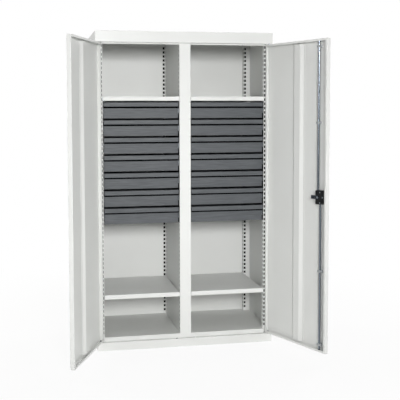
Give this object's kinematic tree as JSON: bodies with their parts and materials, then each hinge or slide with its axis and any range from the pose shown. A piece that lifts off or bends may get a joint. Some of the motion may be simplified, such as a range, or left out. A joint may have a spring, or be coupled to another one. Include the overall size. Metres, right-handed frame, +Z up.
{
  "type": "tool cabinet",
  "caption": "Free-standing sheet steel tool cabinet with hinged doors, a central partition, shelves and stacks of drawers with full-width pulls, shown with its doors open.",
  "frame": {"origin": "on the floor at the centre of the cabinet's base, under the middle of the carcass", "axes": "+Z is up, the front with the doors faces -Y, and +X is to the right seen from the front"},
  "size_m": [1.3805, 0.9467, 1.8],
  "materials": {
    "carcass_paint": "semi-gloss powder coat",
    "drawer_paint": "fine-textured powder coat",
    "slide_steel": "bright zinc plated",
    "plated_steel": "bright zinc plated",
    "black_plastic": "moulded",
    "guide_plastic": "moulded",
    "cylinder_chrome": "polished"
  },
  "bodies": {
    "carcass": {"left_side_panel": "carcass_paint", "right_side_panel": "carcass_paint", "back_panel": "carcass_paint", "top_panel": "carcass_paint", "header_rail": "carcass_paint", "plinth": "carcass_paint", "floor_panel": "carcass_paint", "floor_support": "carcass_paint", "centre_partition": "carcass_paint", "shelf_uprights": "carcass_paint", "upper_shelf_left": "carcass_paint", "upper_shelf_right": "carcass_paint", "lower_shelf_left": "carcass_paint", "lower_shelf_right": "carcass_paint", "shelf_clips": "plated_steel", "cabinet_rails": "slide_steel", "drawer_frames": "drawer_paint", "hinge_pins": "plated_steel"},
    "left_door": {"left_door_panel": "carcass_paint", "left_door_stiffener": "carcass_paint", "left_hinge_plates": "carcass_paint"},
    "right_door": {"right_door_panel": "carcass_paint", "right_door_stiffener": "carcass_paint", "right_hinge_plates": "carcass_paint", "lock_case": "black_plastic", "rod_guides": "guide_plastic"},
    "handle": {"door_handle": "black_plastic", "lock_cam": "plated_steel"},
    "key_cylinder": {"lock_cylinder": "cylinder_chrome"},
    "upper_rod": {"upper_lock_rod": "plated_steel"},
    "lower_rod": {"lower_lock_rod": "plated_steel"},
    "drawer_left_1": {"drawer_left_1": "drawer_paint", "drawer_slides_left_1": "slide_steel"},
    "drawer_left_2": {"drawer_left_2": "drawer_paint", "drawer_slides_left_2": "slide_steel"},
    "drawer_left_3": {"drawer_left_3": "drawer_paint", "drawer_slides_left_3": "slide_steel"},
    "drawer_left_4": {"drawer_left_4": "drawer_paint", "drawer_slides_left_4": "slide_steel"},
    "drawer_left_5": {"drawer_left_5": "drawer_paint", "drawer_slides_left_5": "slide_steel"},
    "drawer_left_6": {"drawer_left_6": "drawer_paint", "drawer_slides_left_6": "slide_steel"},
    "drawer_left_7": {"drawer_left_7": "drawer_paint", "drawer_slides_left_7": "slide_steel"},
    "drawer_right_1": {"drawer_right_1": "drawer_paint", "drawer_slides_right_1": "slide_steel"},
    "drawer_right_2": {"drawer_right_2": "drawer_paint", "drawer_slides_right_2": "slide_steel"},
    "drawer_right_3": {"drawer_right_3": "drawer_paint", "drawer_slides_right_3": "slide_steel"},
    "drawer_right_4": {"drawer_right_4": "drawer_paint", "drawer_slides_right_4": "slide_steel"},
    "drawer_right_5": {"drawer_right_5": "drawer_paint", "drawer_slides_right_5": "slide_steel"},
    "drawer_right_6": {"drawer_right_6": "drawer_paint", "drawer_slides_right_6": "slide_steel"},
    "drawer_right_7": {"drawer_right_7": "drawer_paint", "drawer_slides_right_7": "slide_steel"}
  },
  "joints": [
    {"name": "right_door_swing", "type": "hinge", "parent": "carcass", "child": "right_door", "pos_m": [0.492, -0.238, 0], "axis": [0, 0, 1], "range_deg": [-112, 0]},
    {"name": "left_door_swing", "type": "hinge", "parent": "carcass", "child": "left_door", "pos_m": [-0.492, -0.238, 0], "axis": [0, 0, -1], "range_deg": [-112, 0]},
    {"name": "handle_turn", "type": "hinge", "parent": "right_door", "child": "handle", "pos_m": [0.66365, -0.6308, 0.89], "axis": [-0.9272, -0.3746, 0], "range_deg": [-90, 0]},
    {"name": "key_turn", "type": "hinge", "parent": "handle", "child": "key_cylinder", "pos_m": [0.66365, -0.6308, 0.89], "axis": [-0.9272, -0.3746, 0], "range_deg": [-90, 0]},
    {"name": "upper_rod_slide", "type": "slide", "parent": "right_door", "child": "upper_rod", "axis": [0, 0, 1], "range_m": [0, 0.01443]},
    {"name": "lower_rod_slide", "type": "slide", "parent": "right_door", "child": "lower_rod", "axis": [0, 0, -1], "range_m": [0, 0.0145]},
    {"name": "drawer_left_1_slide", "type": "slide", "parent": "carcass", "child": "drawer_left_1", "axis": [0, -1, 0], "range_m": [0, 0.34]},
    {"name": "drawer_left_2_slide", "type": "slide", "parent": "carcass", "child": "drawer_left_2", "axis": [0, -1, 0], "range_m": [0, 0.34]},
    {"name": "drawer_left_3_slide", "type": "slide", "parent": "carcass", "child": "drawer_left_3", "axis": [0, -1, 0], "range_m": [0, 0.34]},
    {"name": "drawer_left_4_slide", "type": "slide", "parent": "carcass", "child": "drawer_left_4", "axis": [0, -1, 0], "range_m": [0, 0.34]},
    {"name": "drawer_left_5_slide", "type": "slide", "parent": "carcass", "child": "drawer_left_5", "axis": [0, -1, 0], "range_m": [0, 0.34]},
    {"name": "drawer_left_6_slide", "type": "slide", "parent": "carcass", "child": "drawer_left_6", "axis": [0, -1, 0], "range_m": [0, 0.34]},
    {"name": "drawer_left_7_slide", "type": "slide", "parent": "carcass", "child": "drawer_left_7", "axis": [0, -1, 0], "range_m": [0, 0.34]},
    {"name": "drawer_right_1_slide", "type": "slide", "parent": "carcass", "child": "drawer_right_1", "axis": [0, -1, 0], "range_m": [0, 0.34]},
    {"name": "drawer_right_2_slide", "type": "slide", "parent": "carcass", "child": "drawer_right_2", "axis": [0, -1, 0], "range_m": [0, 0.34]},
    {"name": "drawer_right_3_slide", "type": "slide", "parent": "carcass", "child": "drawer_right_3", "axis": [0, -1, 0], "range_m": [0, 0.34]},
    {"name": "drawer_right_4_slide", "type": "slide", "parent": "carcass", "child": "drawer_right_4", "axis": [0, -1, 0], "range_m": [0, 0.34]},
    {"name": "drawer_right_5_slide", "type": "slide", "parent": "carcass", "child": "drawer_right_5", "axis": [0, -1, 0], "range_m": [0, 0.34]},
    {"name": "drawer_right_6_slide", "type": "slide", "parent": "carcass", "child": "drawer_right_6", "axis": [0, -1, 0], "range_m": [0, 0.34]},
    {"name": "drawer_right_7_slide", "type": "slide", "parent": "carcass", "child": "drawer_right_7", "axis": [0, -1, 0], "range_m": [0, 0.34]}
  ],
  "couplings": [
    {"joint": "handle_turn", "follows": "upper_rod_slide", "rad_per_m": -108.88},
    {"joint": "lower_rod_slide", "follows": "upper_rod_slide", "ratio": 1}
  ]
}
